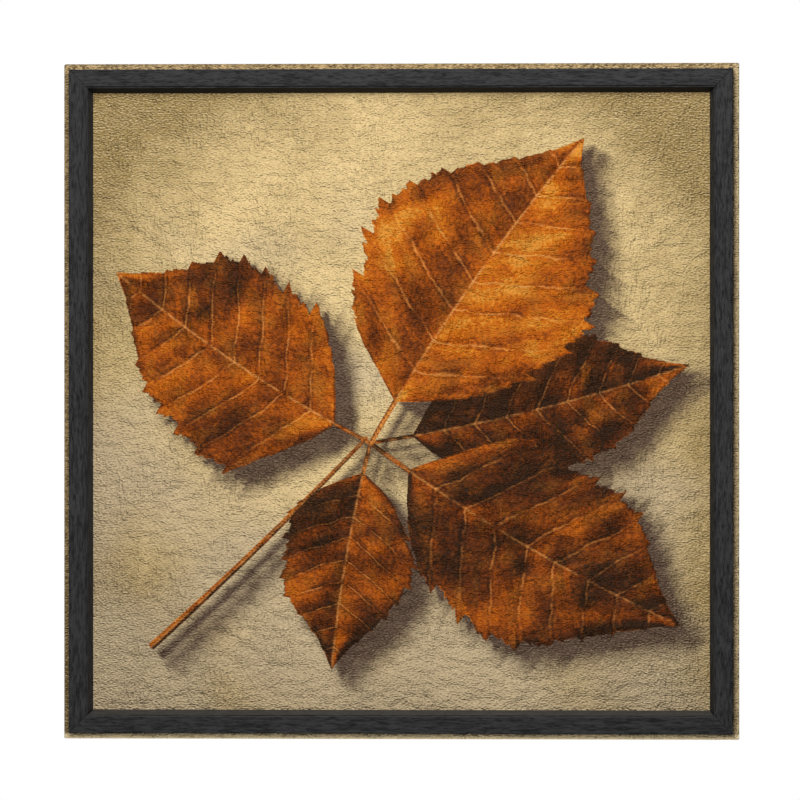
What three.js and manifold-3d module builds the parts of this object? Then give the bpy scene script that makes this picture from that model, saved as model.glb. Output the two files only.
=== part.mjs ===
// A square picture on stretched canvas, with a slim dark frame of mitred wood fixed on its face.
//
// Millimetres, +Z up. The picture faces -Y and hangs on the wall plane y = 0. The origin is the middle
// notch of the hanger, where the wall nail carries the weight.

import * as THREE from 'three';
import { mergeVertices } from 'three/addons/utils/BufferGeometryUtils.js';
import Module from 'manifold-3d';

// Driving dimensions

const CLEARANCE = 0.3;             // between any two pieces that touch

const CANVAS_SIDE = 610;           // outside of the stretched canvas, both ways
const CLOTH = 0.8;                 // primed and painted cloth
const CLOTH_ROUNDING = 1.6;        // where the cloth turns over the bars
const FLAP_WIDTH = 24;             // cloth folded on to the back

const BAR_WIDTH = 40;
const BAR_DEPTH = 18;
const BAR_LAND = 28;               // flat outer strip of a bar's front, under the frame
const BAR_FALL = 3;                // how far the rest of the front slopes away from the cloth

const FRAME_SIDE = 599;            // outside of the frame, a little inside the canvas edge
const RAIL_WIDTH = 21;
const RAIL_DEPTH = 14;
const RAIL_BEVEL = 4.5;            // width of the sloped inner side, seen from the front
const RAIL_LIP = 1;                // upright strip below the bevel, on the canvas
const RAIL_ARRIS = 0.8;            // rounding of a rail's front edges
const ARRIS_STEPS = 3;

const BUMPER_RADIUS = 5.5;
const BUMPER_DEPTH = 4;            // holds the canvas this far off the wall
const BUMPER_EDGE = 0.8;           // bevel round its wall side
const BUMPER_ALONG = 265;          // from the middle of the bottom edge to each side

const HANGER_HEIGHT = 270;         // of the hanger's middle notch, above the picture's middle
const HANGER_LENGTH = 45;
const HANGER_TALL = 8.5;
const HANGER_METAL = 0.8;
const HANGER_RAISE = 2;            // of its middle stretch, so that a nail fits behind it
const HANGER_MIDDLE = 24;          // length of the raised stretch
const HANGER_SLOPE = 3;            // length of each slope beside it
const TOOTH_PITCH = 3;
const TOOTH_DEPTH = 1.5;
const TOOTH_TIP = 0.3;             // flat end of a tooth
const TEETH_EACH_SIDE = 3;
const TACK_ALONG = 18.75;
const TACK_HEIGHT = 3.5;

const STAPLE_WIRE = { thick: 0.7, wide: 1.2 };
const CLOTH_STAPLE = { crown: 12, leg: 8, inset: 12 };
const CLOTH_STAPLES_A_SIDE = 6;
const CLOTH_STAPLE_PITCH = 92;
const CORNER_STAPLE = { crown: 16, leg: 10, out: 272 };

const SCREW = { shank: 1.75, head: 3.6, headHeight: 2.1, length: 28, point: 4, along: 184, out: 288.5 };
const TACK = { shank: 0.7, head: 2, headHeight: 0.9, length: 10, point: 2 };
const V_NAIL = { metal: 0.6, wing: 8, depth: 9, out: 290 };

const HEAD_RIM = 0.4;              // share of a domed head's height that is upright
const HEAD_SHOULDER = 0.8;         // share of its height and of its radius where the dome flattens

const ROUND_SIDES = 16;            // sides of screws, tacks and their holes
const BUMPER_SIDES = 32;

// Depths, from the wall to the front

const clothBack = -BUMPER_DEPTH - CLEARANCE;
const barBack = clothBack - CLOTH - CLEARANCE;
const barFront = barBack - BAR_DEPTH;
const clothFront = barFront - CLEARANCE - CLOTH;
const railBack = clothFront - CLEARANCE;
const railFront = railBack - RAIL_DEPTH;

// Half sizes, from the picture's middle

const canvasHalf = CANVAS_SIDE / 2;
const clothInside = canvasHalf - CLOTH;
const barOuter = clothInside - CLEARANCE;
const barInner = barOuter - BAR_WIDTH;
const railOuter = FRAME_SIDE / 2;
const railInner = railOuter - RAIL_WIDTH;
const stapleOut = canvasHalf - CLOTH_STAPLE.inset;

// The four sides, named as seen from the front, with the turn about Y that takes the top side there

const SIDES = [
  { name: 'top', turn: 0 },
  { name: 'right', turn: Math.PI / 2 },
  { name: 'bottom', turn: Math.PI },
  { name: 'left', turn: -Math.PI / 2 },
];
const CORNERS = ['top_right', 'bottom_right', 'bottom_left', 'top_left'];

const wasm = await Module();
wasm.setup();

// Joining and cutting

function toSolid(geometry) {
  const bare = geometry.clone();
  bare.deleteAttribute('normal');
  bare.deleteAttribute('uv');
  const merged = mergeVertices(bare, 1e-4);
  return new wasm.Manifold(new wasm.Mesh({
    numProp: 3,
    vertProperties: new Float32Array(merged.attributes.position.array),
    triVerts: new Uint32Array(merged.index.array),
  }));
}

function toGeometry(solid) {
  const { vertProperties, triVerts } = solid.getMesh();
  const geometry = new THREE.BufferGeometry();
  geometry.setAttribute('position', new THREE.BufferAttribute(vertProperties, 3));
  geometry.setIndex(new THREE.BufferAttribute(triVerts, 1));
  return geometry;
}

function cut(geometry, tools) {
  return toGeometry(tools.reduce((rest, tool) => rest.subtract(toSolid(tool)), toSolid(geometry)));
}

// Shapes

function outline(points) {
  return new THREE.Shape(points.map(([x, y]) => new THREE.Vector2(x, y)));
}

function box([x0, y0, z0], [x1, y1, z1]) {
  return new THREE.BoxGeometry(x1 - x0, y1 - y0, z1 - z0)
    .translate((x0 + x1) / 2, (y0 + y1) / 2, (z0 + z1) / 2);
}

// A solid turned about Y. Each point of the profile is [radius, depth], from front to back.
function turned(profile, sides = ROUND_SIDES) {
  return new THREE.LatheGeometry(profile.map(([radius, y]) => new THREE.Vector2(radius, y)), sides);
}

// The top member of a mitred square: a section carried along X and cut at 45 degrees at both ends. Each
// point of the section is [distance from the picture's middle, depth]. At a mitre that distance is also
// the distance along X, so an extrusion's end caps are slid out to it.
function mitredMember(section) {
  const geometry = new THREE.ExtrudeGeometry(outline(section), { depth: 1, bevelEnabled: false });
  const place = geometry.attributes.position;
  const shorten = CLEARANCE / Math.SQRT2;
  for (let i = 0; i < place.count; i += 1) {
    const out = place.getX(i);
    const end = place.getZ(i) < 0.5 ? 1 : -1;
    place.setXYZ(i, end * (out - shorten), place.getY(i), out);
  }
  return geometry;
}

// Points of a quarter round about a centre, from one angle to the next in degrees.
function arc(centre, radius, from, to, steps) {
  return Array.from({ length: steps + 1 }, (_, i) => {
    const angle = THREE.MathUtils.degToRad(from + (to - from) * i / steps);
    return [centre[0] + radius * Math.cos(angle), centre[1] + radius * Math.sin(angle)];
  });
}

// A copy of a shape on each of the four sides.
function onEachSide(shapes) {
  return SIDES.flatMap(({ turn }) => shapes.map((shape) => shape.clone().rotateY(turn)));
}

// Staples, screws and nails, each with the hole that it sits in

// Two legs into the wood and a crown over what it holds. The crown's underside is at depth seat.
function staple({ crown, leg }, seat) {
  const half = crown / 2;
  const inner = half - STAPLE_WIRE.thick;
  const tip = seat - leg;
  const top = seat + STAPLE_WIRE.thick;
  const shape = outline([
    [-half, tip], [-inner, tip], [-inner, seat], [inner, seat],
    [inner, tip], [half, tip], [half, top], [-half, top],
  ]);
  return new THREE.ExtrudeGeometry(shape, { depth: STAPLE_WIRE.wide, bevelEnabled: false })
    .translate(0, 0, -STAPLE_WIRE.wide / 2);
}

function legHoles({ crown, leg }, seat) {
  const reach = STAPLE_WIRE.thick / 2 + CLEARANCE;
  const half = STAPLE_WIRE.wide / 2 + CLEARANCE;
  return [-1, 1].map((way) => {
    const middle = way * (crown - STAPLE_WIRE.thick) / 2;
    return box([middle - reach, seat - leg - CLEARANCE, -half], [middle + reach, 0, half]);
  });
}

function toCorner(shape) {
  return shape.translate(0, 0, CORNER_STAPLE.out * Math.SQRT2).rotateY(Math.PI / 4);
}

// A pointed shank under a low domed head, whose underside is at depth seat.
function fastener({ shank, head, headHeight, length, point }, seat) {
  const rim = seat + headHeight * HEAD_RIM;
  const shoulder = seat + headHeight * HEAD_SHOULDER;
  return turned([
    [0, seat - length], [shank, seat - length + point], [shank, seat],
    [head, seat], [head, rim], [head * HEAD_SHOULDER, shoulder], [0, seat + headHeight],
  ]);
}

// The round hole that the same fastener's shank sits in, open as far as the wall.
function shankHole({ shank, length, point }, seat) {
  const radius = shank + CLEARANCE;
  const end = seat - length - CLEARANCE;
  return turned([[0, end], [radius, end + point], [radius, 0], [0, 0]]);
}

function screwPlace(shape, along) {
  return shape.translate(along, 0, SCREW.out);
}

function tackPlace(shape, along) {
  return shape.translate(along, 0, HANGER_HEIGHT + TACK_HEIGHT);
}

// A bent strip with one wing in each rail of the top right corner, between two depths. grow swells its
// outline.
function vNail(front, back, grow = 0) {
  const outer = V_NAIL.out + V_NAIL.metal / 2 + grow;
  const inner = V_NAIL.out - V_NAIL.metal / 2 - grow;
  const tip = V_NAIL.out - V_NAIL.wing - grow;
  const shape = outline([
    [tip, inner], [inner, inner], [inner, tip], [outer, tip], [outer, outer], [tip, outer],
  ]);
  return new THREE.ExtrudeGeometry(shape, { depth: back - front, bevelEnabled: false })
    .rotateX(Math.PI / 2)
    .translate(0, back, 0);
}

// The pieces

const screwPlaces = [-SCREW.along, SCREW.along];
const staplePlaces = Array.from(
  { length: CLOTH_STAPLES_A_SIDE },
  (_, i) => (i - (CLOTH_STAPLES_A_SIDE - 1) / 2) * CLOTH_STAPLE_PITCH,
);
const tackPlaces = [-TACK_ALONG, TACK_ALONG];
const clothSeat = clothBack + CLEARANCE;
const barSeat = barBack + CLEARANCE;
const hangerSeat = barSeat + HANGER_METAL + CLEARANCE;
const vNailBack = railBack - CLEARANCE;
const vNailFront = vNailBack - V_NAIL.depth;

const screwHoles = screwPlaces.map((along) => screwPlace(shankHole(SCREW, clothSeat), along));
const tackHoles = tackPlaces.map((along) => tackPlace(shankHole(TACK, hangerSeat), along));
const stapleHoles = staplePlaces.flatMap(
  (along) => legHoles(CLOTH_STAPLE, clothSeat).map((hole) => hole.translate(along, 0, stapleOut)),
);

function frameRail() {
  const faceInner = railInner + RAIL_BEVEL;
  const slope = THREE.MathUtils.radToDeg(Math.atan2(RAIL_DEPTH - RAIL_LIP, RAIL_BEVEL));
  const tangent = RAIL_ARRIS * Math.tan(THREE.MathUtils.degToRad(slope / 2));
  const section = [
    [railOuter, railBack],
    [railInner, railBack],
    [railInner, railBack - RAIL_LIP],
    ...arc([faceInner + tangent, railFront + RAIL_ARRIS], RAIL_ARRIS, 270 - slope, 270, ARRIS_STEPS),
    ...arc([railOuter - RAIL_ARRIS, railFront + RAIL_ARRIS], RAIL_ARRIS, 270, 360, ARRIS_STEPS),
  ];
  const nailSlots = [0, -Math.PI / 2].map(
    (turn) => vNail(vNailFront - CLEARANCE, clothFront, CLEARANCE).rotateY(turn),
  );
  return cut(mitredMember(section), [...screwHoles, ...nailSlots]);
}

function stretcherBar(extraHoles) {
  const section = [
    [barOuter, barBack],
    [barInner, barBack],
    [barInner, barFront + BAR_FALL],
    [barOuter - BAR_LAND, barFront],
    [barOuter, barFront],
  ];
  const cornerHoles = [0, -Math.PI / 2].flatMap(
    (turn) => legHoles(CORNER_STAPLE, barSeat).map((hole) => toCorner(hole).rotateY(turn)),
  );
  return cut(mitredMember(section), [...screwHoles, ...stapleHoles, ...cornerHoles, ...extraHoles]);
}

// A square tray: front, four sides and the folded-back edge, turned about Y with four sides.
function canvas() {
  const turnCentre = [canvasHalf - CLOTH_ROUNDING, clothFront + CLOTH_ROUNDING];
  const profile = [
    [0, clothFront],
    ...arc(turnCentre, CLOTH_ROUNDING, -90, 0, ARRIS_STEPS),
    [canvasHalf, clothBack],
    [canvasHalf - FLAP_WIDTH, clothBack],
    [canvasHalf - FLAP_WIDTH, clothBack - CLOTH],
    [clothInside, clothBack - CLOTH],
    [clothInside, clothFront + CLOTH],
    [0, clothFront + CLOTH],
  ];
  const tray = new THREE.LatheGeometry(
    profile.map(([half, y]) => new THREE.Vector2(half * Math.SQRT2, y)), 4, Math.PI / 4,
  );
  return cut(tray, onEachSide([...screwHoles, ...stapleHoles]));
}

// A strip bent up in the middle, with teeth cut in its lower edge and a hole at each end.
function sawtoothHanger() {
  const end = HANGER_LENGTH / 2;
  const raised = HANGER_MIDDLE / 2;
  const foot = raised + HANGER_SLOPE;
  const bentLine = [
    [-end, 0], [-foot, 0], [-raised, HANGER_RAISE], [raised, HANGER_RAISE], [foot, 0], [end, 0],
  ];
  const side = outline([
    ...bentLine.map(([x, lift]) => [x, barSeat + lift]),
    ...bentLine.map(([x, lift]) => [x, barSeat + lift + HANGER_METAL]).reverse(),
  ]);
  const tall = HANGER_TALL + TOOTH_DEPTH;
  const strip = new THREE.ExtrudeGeometry(side, { depth: tall, bevelEnabled: false })
    .translate(0, 0, HANGER_HEIGHT - TOOTH_DEPTH);
  const gullets = Array.from({ length: 2 * TEETH_EACH_SIDE + 1 }, (_, i) => {
    const middle = (i - TEETH_EACH_SIDE) * TOOTH_PITCH;
    const half = (TOOTH_PITCH - TOOTH_TIP) / 2;
    const gullet = outline([
      [middle - half, -2 * TOOTH_DEPTH], [middle + half, -2 * TOOTH_DEPTH],
      [middle + half, -TOOTH_DEPTH], [middle, 0], [middle - half, -TOOTH_DEPTH],
    ]);
    return new THREE.ExtrudeGeometry(gullet, { depth: BAR_DEPTH, bevelEnabled: false })
      .rotateX(Math.PI / 2)
      .translate(0, 0, HANGER_HEIGHT);
  });
  return cut(strip, [...gullets, ...tackHoles]);
}

function bumper() {
  return turned([
    [0, -BUMPER_DEPTH], [BUMPER_RADIUS, -BUMPER_DEPTH], [BUMPER_RADIUS, -BUMPER_EDGE],
    [BUMPER_RADIUS - BUMPER_EDGE, 0], [0, 0],
  ], BUMPER_SIDES);
}

// Finishes

const finish = {
  charcoalPaint: { color: 0x35373a, roughness: 0.62, metalness: 0 },
  paintedCloth: { color: 0xb59a6c, roughness: 0.8, metalness: 0 },
  pine: { color: 0xd2ad78, roughness: 0.7, metalness: 0 },
  zincSteel: { color: 0xa9abad, roughness: 0.4, metalness: 1 },
  blackRubber: { color: 0x2b2a29, roughness: 0.85, metalness: 0 },
};

function piece(name, geometry, look) {
  const mesh = new THREE.Mesh(geometry, new THREE.MeshStandardMaterial(look));
  mesh.name = name;
  return mesh;
}

// The picture, put together

const group = new THREE.Group();
const picture = new THREE.Group();
picture.position.z = -HANGER_HEIGHT;
group.add(picture);

picture.add(piece('canvas', canvas(), finish.paintedCloth));

SIDES.forEach(({ name, turn }, index) => {
  const side = new THREE.Group();
  side.rotation.y = turn;
  picture.add(side);

  side.add(piece(`frame_rail_${name}`, frameRail(), finish.charcoalPaint));
  side.add(piece(`stretcher_bar_${name}`, stretcherBar(name === 'top' ? tackHoles : []), finish.pine));
  side.add(piece(`v_nail_${CORNERS[index]}`, vNail(vNailFront, vNailBack), finish.zincSteel));
  const acrossMitre = toCorner(staple(CORNER_STAPLE, barSeat));
  side.add(piece(`corner_staple_${CORNERS[index]}`, acrossMitre, finish.zincSteel));
  screwPlaces.forEach((along, i) => {
    const screw = screwPlace(fastener(SCREW, clothSeat), along);
    side.add(piece(`screw_${name}_${i + 1}`, screw, finish.zincSteel));
  });
  staplePlaces.forEach((along, i) => {
    const held = staple(CLOTH_STAPLE, clothSeat).translate(along, 0, stapleOut);
    side.add(piece(`cloth_staple_${name}_${i + 1}`, held, finish.zincSteel));
  });
});

picture.add(piece('sawtooth_hanger', sawtoothHanger(), finish.zincSteel));
tackPlaces.forEach((along, i) => {
  const tack = tackPlace(fastener(TACK, hangerSeat), along);
  picture.add(piece(`hanger_tack_${i + 1}`, tack, finish.zincSteel));
});
[['left', -1], ['right', 1]].forEach(([name, way]) => {
  const rubber = bumper().translate(way * BUMPER_ALONG, 0, -stapleOut);
  picture.add(piece(`bumper_${name}`, rubber, finish.blackRubber));
});

export default group;
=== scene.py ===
"""Dresses a framed canvas picture: painted cloth, dark rails, pine bars, fastenings and a pale studio."""

import math
from typing import NamedTuple

import bpy
import numpy as np
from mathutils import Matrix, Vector


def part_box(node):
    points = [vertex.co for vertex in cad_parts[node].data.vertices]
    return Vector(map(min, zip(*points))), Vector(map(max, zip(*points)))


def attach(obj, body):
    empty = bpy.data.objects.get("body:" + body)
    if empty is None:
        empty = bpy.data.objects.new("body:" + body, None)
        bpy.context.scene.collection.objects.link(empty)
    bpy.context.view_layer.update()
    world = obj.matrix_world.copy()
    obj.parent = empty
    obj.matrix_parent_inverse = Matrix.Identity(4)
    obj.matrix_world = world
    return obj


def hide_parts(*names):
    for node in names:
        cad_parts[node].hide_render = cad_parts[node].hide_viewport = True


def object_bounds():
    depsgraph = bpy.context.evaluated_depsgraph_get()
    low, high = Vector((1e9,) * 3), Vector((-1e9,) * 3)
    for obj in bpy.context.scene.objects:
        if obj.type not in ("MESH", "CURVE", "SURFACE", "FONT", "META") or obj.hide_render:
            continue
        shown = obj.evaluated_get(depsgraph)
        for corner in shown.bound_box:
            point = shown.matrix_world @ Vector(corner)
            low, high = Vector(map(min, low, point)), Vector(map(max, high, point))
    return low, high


bl_info = {
    "name": "Framed Canvas Picture",
    "version": (1, 0, 0),
    "blender": (4, 5, 0),
    "location": "View3D > Sidebar > Picture",
    "description": "Builds the painted canvas, its dark frame, the stretcher back and a pale studio",
    "category": "Object",
}

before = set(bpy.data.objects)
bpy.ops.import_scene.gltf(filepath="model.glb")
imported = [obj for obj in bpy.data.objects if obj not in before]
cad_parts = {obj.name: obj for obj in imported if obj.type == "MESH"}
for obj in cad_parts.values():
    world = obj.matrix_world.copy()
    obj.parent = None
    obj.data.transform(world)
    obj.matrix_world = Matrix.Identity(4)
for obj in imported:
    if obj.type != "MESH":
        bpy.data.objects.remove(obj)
CAD_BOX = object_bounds()

MM = 0.001
BODY = "root"

# Places taken from the solids, in millimetres, with the picture's middle as the origin of x and z

CANVAS_LOW, CANVAS_HIGH = (np.array(corner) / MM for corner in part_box("canvas"))
MIDDLE = (CANVAS_LOW + CANVAS_HIGH) / 2
CANVAS_HALF = (CANVAS_HIGH[0] - CANVAS_LOW[0]) / 2
CLOTH_FRONT = CANVAS_LOW[1]
CLOTH_BACK = CANVAS_HIGH[1]
RAIL_LOW, RAIL_HIGH = (np.array(corner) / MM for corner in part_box("frame_rail_top"))
RAIL_OUTER = RAIL_HIGH[2] - MIDDLE[2]
RAIL_INNER = RAIL_LOW[2] - MIDDLE[2]
RAIL_FRONT, RAIL_BACK = RAIL_LOW[1], RAIL_HIGH[1]
BAR_LOW, BAR_HIGH = (np.array(corner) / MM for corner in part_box("stretcher_bar_top"))
BAR_OUTER = BAR_HIGH[2] - MIDDLE[2]
BAR_INNER = BAR_LOW[2] - MIDDLE[2]
BAR_FRONT, BAR_BACK = BAR_LOW[1], BAR_HIGH[1]

# Cloth: its thickness, the width folded back, its roundings at the front edge, at the back edge and at the
# corners, how many fine grid steps make a coarse one, and how far the fine grid runs on under the rails
CLOTH = 0.8
FLAP = 24.0
CLOTH_TURN = 1.6
BACK_TURN = 1.2
CLOTH_CORNER = 1.5
COARSE = 8
HIDDEN_EDGE = 2.0

SIDES = ("top", "right", "bottom", "left")
CORNERS = ("top_right", "bottom_right", "bottom_left", "top_left")

# Rails and bars: sizes of their sections, grid step along them, and height of the slow waves and the grain.
# Near a mitre the surface draws in by each inset at that station.
RAIL_LIP = 1.0
RAIL_STEP = 2.6
RAIL_WAVE = 0.16
BAR_LAND = 28.0
BAR_FALL = 3.0
BAR_STEP = 6.0
BAR_WAVE, BAR_GRAIN = 0.2, 0.05
MITRE_GAP = 0.05
MITRE_STATIONS = np.array([0.0, 0.12, 0.4, 0.9])
MITRE_INSET = np.array([0.34, 0.18, 0.05, 0.0])
GRAIN_APART = 1000.0
RAIL_SEED, BAR_SEED, FOLD_SEED = 20, 40, 60

# Distance along the cloth past the front edge: where its paint ends, and what unpainted pieces are given
PAINT_END = (21.5, 24.5)
INSIDE_WRAP = 60.0
FLAP_WRAP = 35.0
FOLD_THICK = 1.1
FOLD_GRID = 25

# Fastenings and fittings
CLOTH_STAPLES = 6
WIRE_THICK, WIRE_WIDE, WIRE_POINT = 0.7, 1.2, 2.0
CORNER_CROWN = 16.0
HEAD_HEIGHT, SHANK, SCREW_POINT = 2.1, 1.75, 4.0
THREAD_PITCH, THREAD_DEPTH = 1.6, 0.22
RECESS_DEPTH = 1.3
TACK_HEIGHT, TACK_SHANK, TACK_POINT = 0.9, 0.7, 2.0
SCREW_SIDES, TACK_SIDES, BUMPER_SIDES = 40, 32, 48
HANGER_METAL, HANGER_RAISED, HANGER_FOOT = 0.8, 12.0, 15.0
TOOTH_PITCH, TOOTH_DEPTH, TEETH = 3.0, 1.5, 3
TOOTH_TIP = 0.15

# Stage: where each lamp stands from the picture's middle and how wide it is, in metres, where the camera
# aims, in millimetres, half the floor's side in metres, and the camera's sensor and far limit
KEY_PLACE, KEY_SIZE = (0.08, -1.1, 0.8), 0.6
FRONT_PLACE, FRONT_SIZE = (-0.2, -2.5, 0.45), 0.9
BACK_PLACE, BACK_SIZE = (-0.9, 1.6, 1.1), 1.2
AIM = np.array([-1.3, 0.0, 1.2])
FLOOR_HALF = 2.0
SENSOR, CLIP_END = 36.0, 50.0


# Shader maths


class Wire:
    """A socket of a material's node tree that arithmetic works on, each step adding its Math node."""

    STEPS = {
        np.add: "ADD", np.subtract: "SUBTRACT", np.multiply: "MULTIPLY", np.true_divide: "DIVIDE",
        np.minimum: "MINIMUM", np.maximum: "MAXIMUM", np.absolute: "ABSOLUTE", np.floor: "FLOOR",
        np.sin: "SINE",
    }

    def __init__(self, paint, socket):
        self.paint = paint
        self.socket = socket

    def __array_ufunc__(self, step, method, *inputs, **kwargs):
        values = dict(enumerate(inputs))
        return self.paint.add("ShaderNodeMath", {"operation": self.STEPS[step]}, values)

    def __add__(self, other):
        return np.add(self, other)

    def __radd__(self, other):
        return np.add(other, self)

    def __sub__(self, other):
        return np.subtract(self, other)

    def __rsub__(self, other):
        return np.subtract(other, self)

    def __mul__(self, other):
        return np.multiply(self, other)

    def __rmul__(self, other):
        return np.multiply(other, self)

    def __truediv__(self, other):
        return np.true_divide(self, other)

    def __neg__(self):
        return np.multiply(self, -1.0)


class Paint:
    """A material being built on one principled shader."""

    def __init__(self, name, constants):
        self.material = bpy.data.materials.new(name)
        self.material.use_nodes = True
        self.tree = self.material.node_tree
        self.shader = self.tree.nodes["Principled BSDF"]
        for socket, value in constants.items():
            self.shader.inputs[socket].default_value = value

    def add(self, kind, settings=(), sockets=(), output=0):
        """A node of a type, with its settings first, then the values or links of its sockets."""
        node = self.tree.nodes.new(kind)
        for key, value in dict(settings).items():
            if key == "stops":
                self.set_stops(node.color_ramp, value)
            else:
                setattr(node, key, value)
        for key, value in dict(sockets).items():
            self.feed(node.inputs[key], value)
        return Wire(self, node.outputs[output])

    def feed(self, socket, value):
        if isinstance(value, Wire):
            self.tree.links.new(value.socket, socket)
        else:
            socket.default_value = value

    @staticmethod
    def set_stops(ramp, stops):
        while len(ramp.elements) < len(stops):
            ramp.elements.new(1.0)
        for element, (place, colour) in zip(ramp.elements, stops):
            element.position = place
            element.color = colour

    def place(self):
        """Millimetres across and up from the picture's middle, and depth from the wall."""
        x, y, z = self.split(self.add("ShaderNodeTexCoord", output="Object"))
        return x / MM - MIDDLE[0], y / MM, z / MM - MIDDLE[2]

    def attribute(self, name, output="Fac"):
        return self.add("ShaderNodeAttribute", {"attribute_name": name}, output=output)

    def split(self, vector):
        node = self.tree.nodes.new("ShaderNodeSeparateXYZ")
        self.feed(node.inputs[0], vector)
        return tuple(Wire(self, socket) for socket in node.outputs)

    def vector(self, x, y, z=0.0):
        return self.add("ShaderNodeCombineXYZ", sockets={0: x, 1: y, 2: z})

    def noise(self, x, y, z=None, detail=2.0, roughness=0.5):
        """Random from 0 to 1, mostly near a half, with one wave about every unit. It is taken in a plane
        unless z is given."""
        settings = {"noise_dimensions": "2D" if z is None else "3D"}
        place = self.vector(x, y, 0.0 if z is None else z)
        sockets = {"Vector": place, "Scale": 1.0, "Detail": detail, "Roughness": roughness}
        return self.add("ShaderNodeTexNoise", settings, sockets)

    def ramp(self, value, stops):
        return self.add("ShaderNodeValToRGB", {"stops": stops}, {0: value})

    def mix(self, share, low, high):
        """A colour that goes from low to high by share."""
        return self.add("ShaderNodeMix", {"data_type": "RGBA"}, {0: share, 6: low, 7: high}, output=2)

    def mix_vector(self, share, low, high):
        return self.add("ShaderNodeMix", {"data_type": "VECTOR"}, {0: share, 4: low, 5: high}, output=1)

    def bump(self, height):
        """A normal from a height in millimetres."""
        return self.add("ShaderNodeBump", sockets={"Height": height, "Distance": MM})

    def finish(self, links):
        for socket, value in links.items():
            self.feed(self.shader.inputs[socket], value)
        return self.material


def srgb(red, green, blue):
    """A colour as read off a screen, from 0 to 255, as linear light."""
    def linear(level):
        level /= 255
        return level / 12.92 if level <= 0.04045 else ((level + 0.055) / 1.055) ** 2.4
    return (linear(red), linear(green), linear(blue), 1.0)


def clamp(value, low=0.0, high=1.0):
    return np.minimum(np.maximum(value, low), high)


def ease(value, low, high):
    """0 below low and 1 above high, with a smooth turn at both: t t (3 - 2 t)."""
    if isinstance(value, Wire):
        return value.paint.add(
            "ShaderNodeMapRange", {"interpolation_type": "SMOOTHSTEP"}, {0: value, 1: low, 2: high}
        )
    share = clamp((value - low) / (high - low))
    return share * share * (3 - 2 * share)


def fraction(value):
    return value - np.floor(value)


def blend(low, high, share):
    return low + (high - low) * share


# Meshes


def soft_noise(u, v, seed, count=64):
    """Random heights on a lattice of whole numbers, joined by smooth steps, from 0 to 1."""
    heights = np.random.default_rng(seed).random((count, count))
    column, row = np.floor(u).astype(int), np.floor(v).astype(int)
    right, up = ease(u - column, 0, 1), ease(v - row, 0, 1)

    def at(i, j):
        return heights[(column + i) % count, (row + j) % count]

    return blend(blend(at(0, 0), at(1, 0), right), blend(at(0, 1), at(1, 1), right), up)


def grid_quads(rows, columns, close_columns=False):
    """Faces of a grid of points numbered row by row. Closing joins the last column to the first."""
    i = np.arange(rows - 1)[:, None]
    j = np.arange(columns if close_columns else columns - 1)[None, :]
    next_j = (j + 1) % columns
    corners = (i * columns + j, i * columns + next_j, (i + 1) * columns + next_j, (i + 1) * columns + j)
    return np.stack([np.broadcast_to(c, (i.size, j.size)) for c in corners], -1).reshape(-1, 4)


def signed_volume(points, faces):
    """Volume of a closed mesh: each face is fanned from its first corner, and the tetrahedra from the origin
    to the fans are summed. Negative where the faces point in."""
    total = 0.0
    for group in faces:
        corners = points[group]
        total += np.sum(corners[:, :1] * np.cross(corners[:, 1:-1], corners[:, 2:]))
    return total / 6


def make_piece(name, points, faces, material, nodes, fields=None, crease=40):
    """A closed piece that rides on the body and stands for CAD nodes. Points are millimetres about the
    picture's middle, faces are arrays with one row a face, and edges sharper than crease stay sharp."""
    points = np.asarray(points, float)
    if signed_volume(points, faces) < 0:
        faces = [group[:, ::-1] for group in faces]
    mesh = bpy.data.meshes.new(name)
    corners = [face for group in faces for face in group.tolist()]
    mesh.from_pydata(((points + MIDDLE * (1, 0, 1)) * MM).tolist(), [], corners)
    for key, values in (fields or {}).items():
        kind, member = ("FLOAT", "value") if values.ndim == 1 else ("FLOAT_VECTOR", "vector")
        layer = mesh.attributes.new(key, kind, "POINT")
        layer.data.foreach_set(member, values.astype(np.float32).ravel())
    mesh.shade_smooth()
    mesh.set_sharp_from_angle(angle=math.radians(crease))
    mesh.materials.append(material)
    piece = bpy.data.objects.new(name, mesh)
    bpy.context.scene.collection.objects.link(piece)
    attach(piece, BODY)
    if nodes:
        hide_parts(*nodes)
    return piece


def turn_about_middle(points, quarter_turns):
    """Points (x, depth, z) taken round the picture clockwise, as seen from the front."""
    x, depth, z = np.moveaxis(points, -1, 0)
    angle = quarter_turns * math.pi / 2
    across = x * math.cos(angle) + z * math.sin(angle)
    up = z * math.cos(angle) - x * math.sin(angle)
    return np.stack([across, depth, up], -1)


def make_grained(name, points, faces, material, node, turns):
    """A wooden member made as the top one and taken round to its side. It keeps its own length, width and
    depth as the place of its grain."""
    fields = {"grain": points[:, [0, 2, 1]] + (turns * GRAIN_APART, 0, 0)}
    return make_piece(name, turn_about_middle(points, turns), faces, material, [node], fields)


def eased(corners, reaches, steps=5):
    """A line through corners, each cut off by the curve (1-t)^2 A + 2 t (1-t) C + t^2 B, whose ends A and B
    lie that corner's reach away on its two sides. A reach of 0 keeps the corner."""
    corners = np.asarray(corners, float)
    reaches = np.broadcast_to(reaches, len(corners))[:, None]
    before, after = np.roll(corners, 1, axis=0) - corners, np.roll(corners, -1, axis=0) - corners
    start = corners + before * reaches / np.linalg.norm(before, axis=1, keepdims=True)
    end = corners + after * reaches / np.linalg.norm(after, axis=1, keepdims=True)
    t = np.linspace(0, 1, steps)[None, :, None]
    curve = start[:, None] * (1 - t) ** 2 + 2 * corners[:, None] * t * (1 - t) + end[:, None] * t ** 2
    points = curve.reshape(-1, 2)
    apart = np.linalg.norm(np.diff(points, axis=0), axis=1) > 1e-6
    return points[np.r_[True, apart]]


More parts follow.
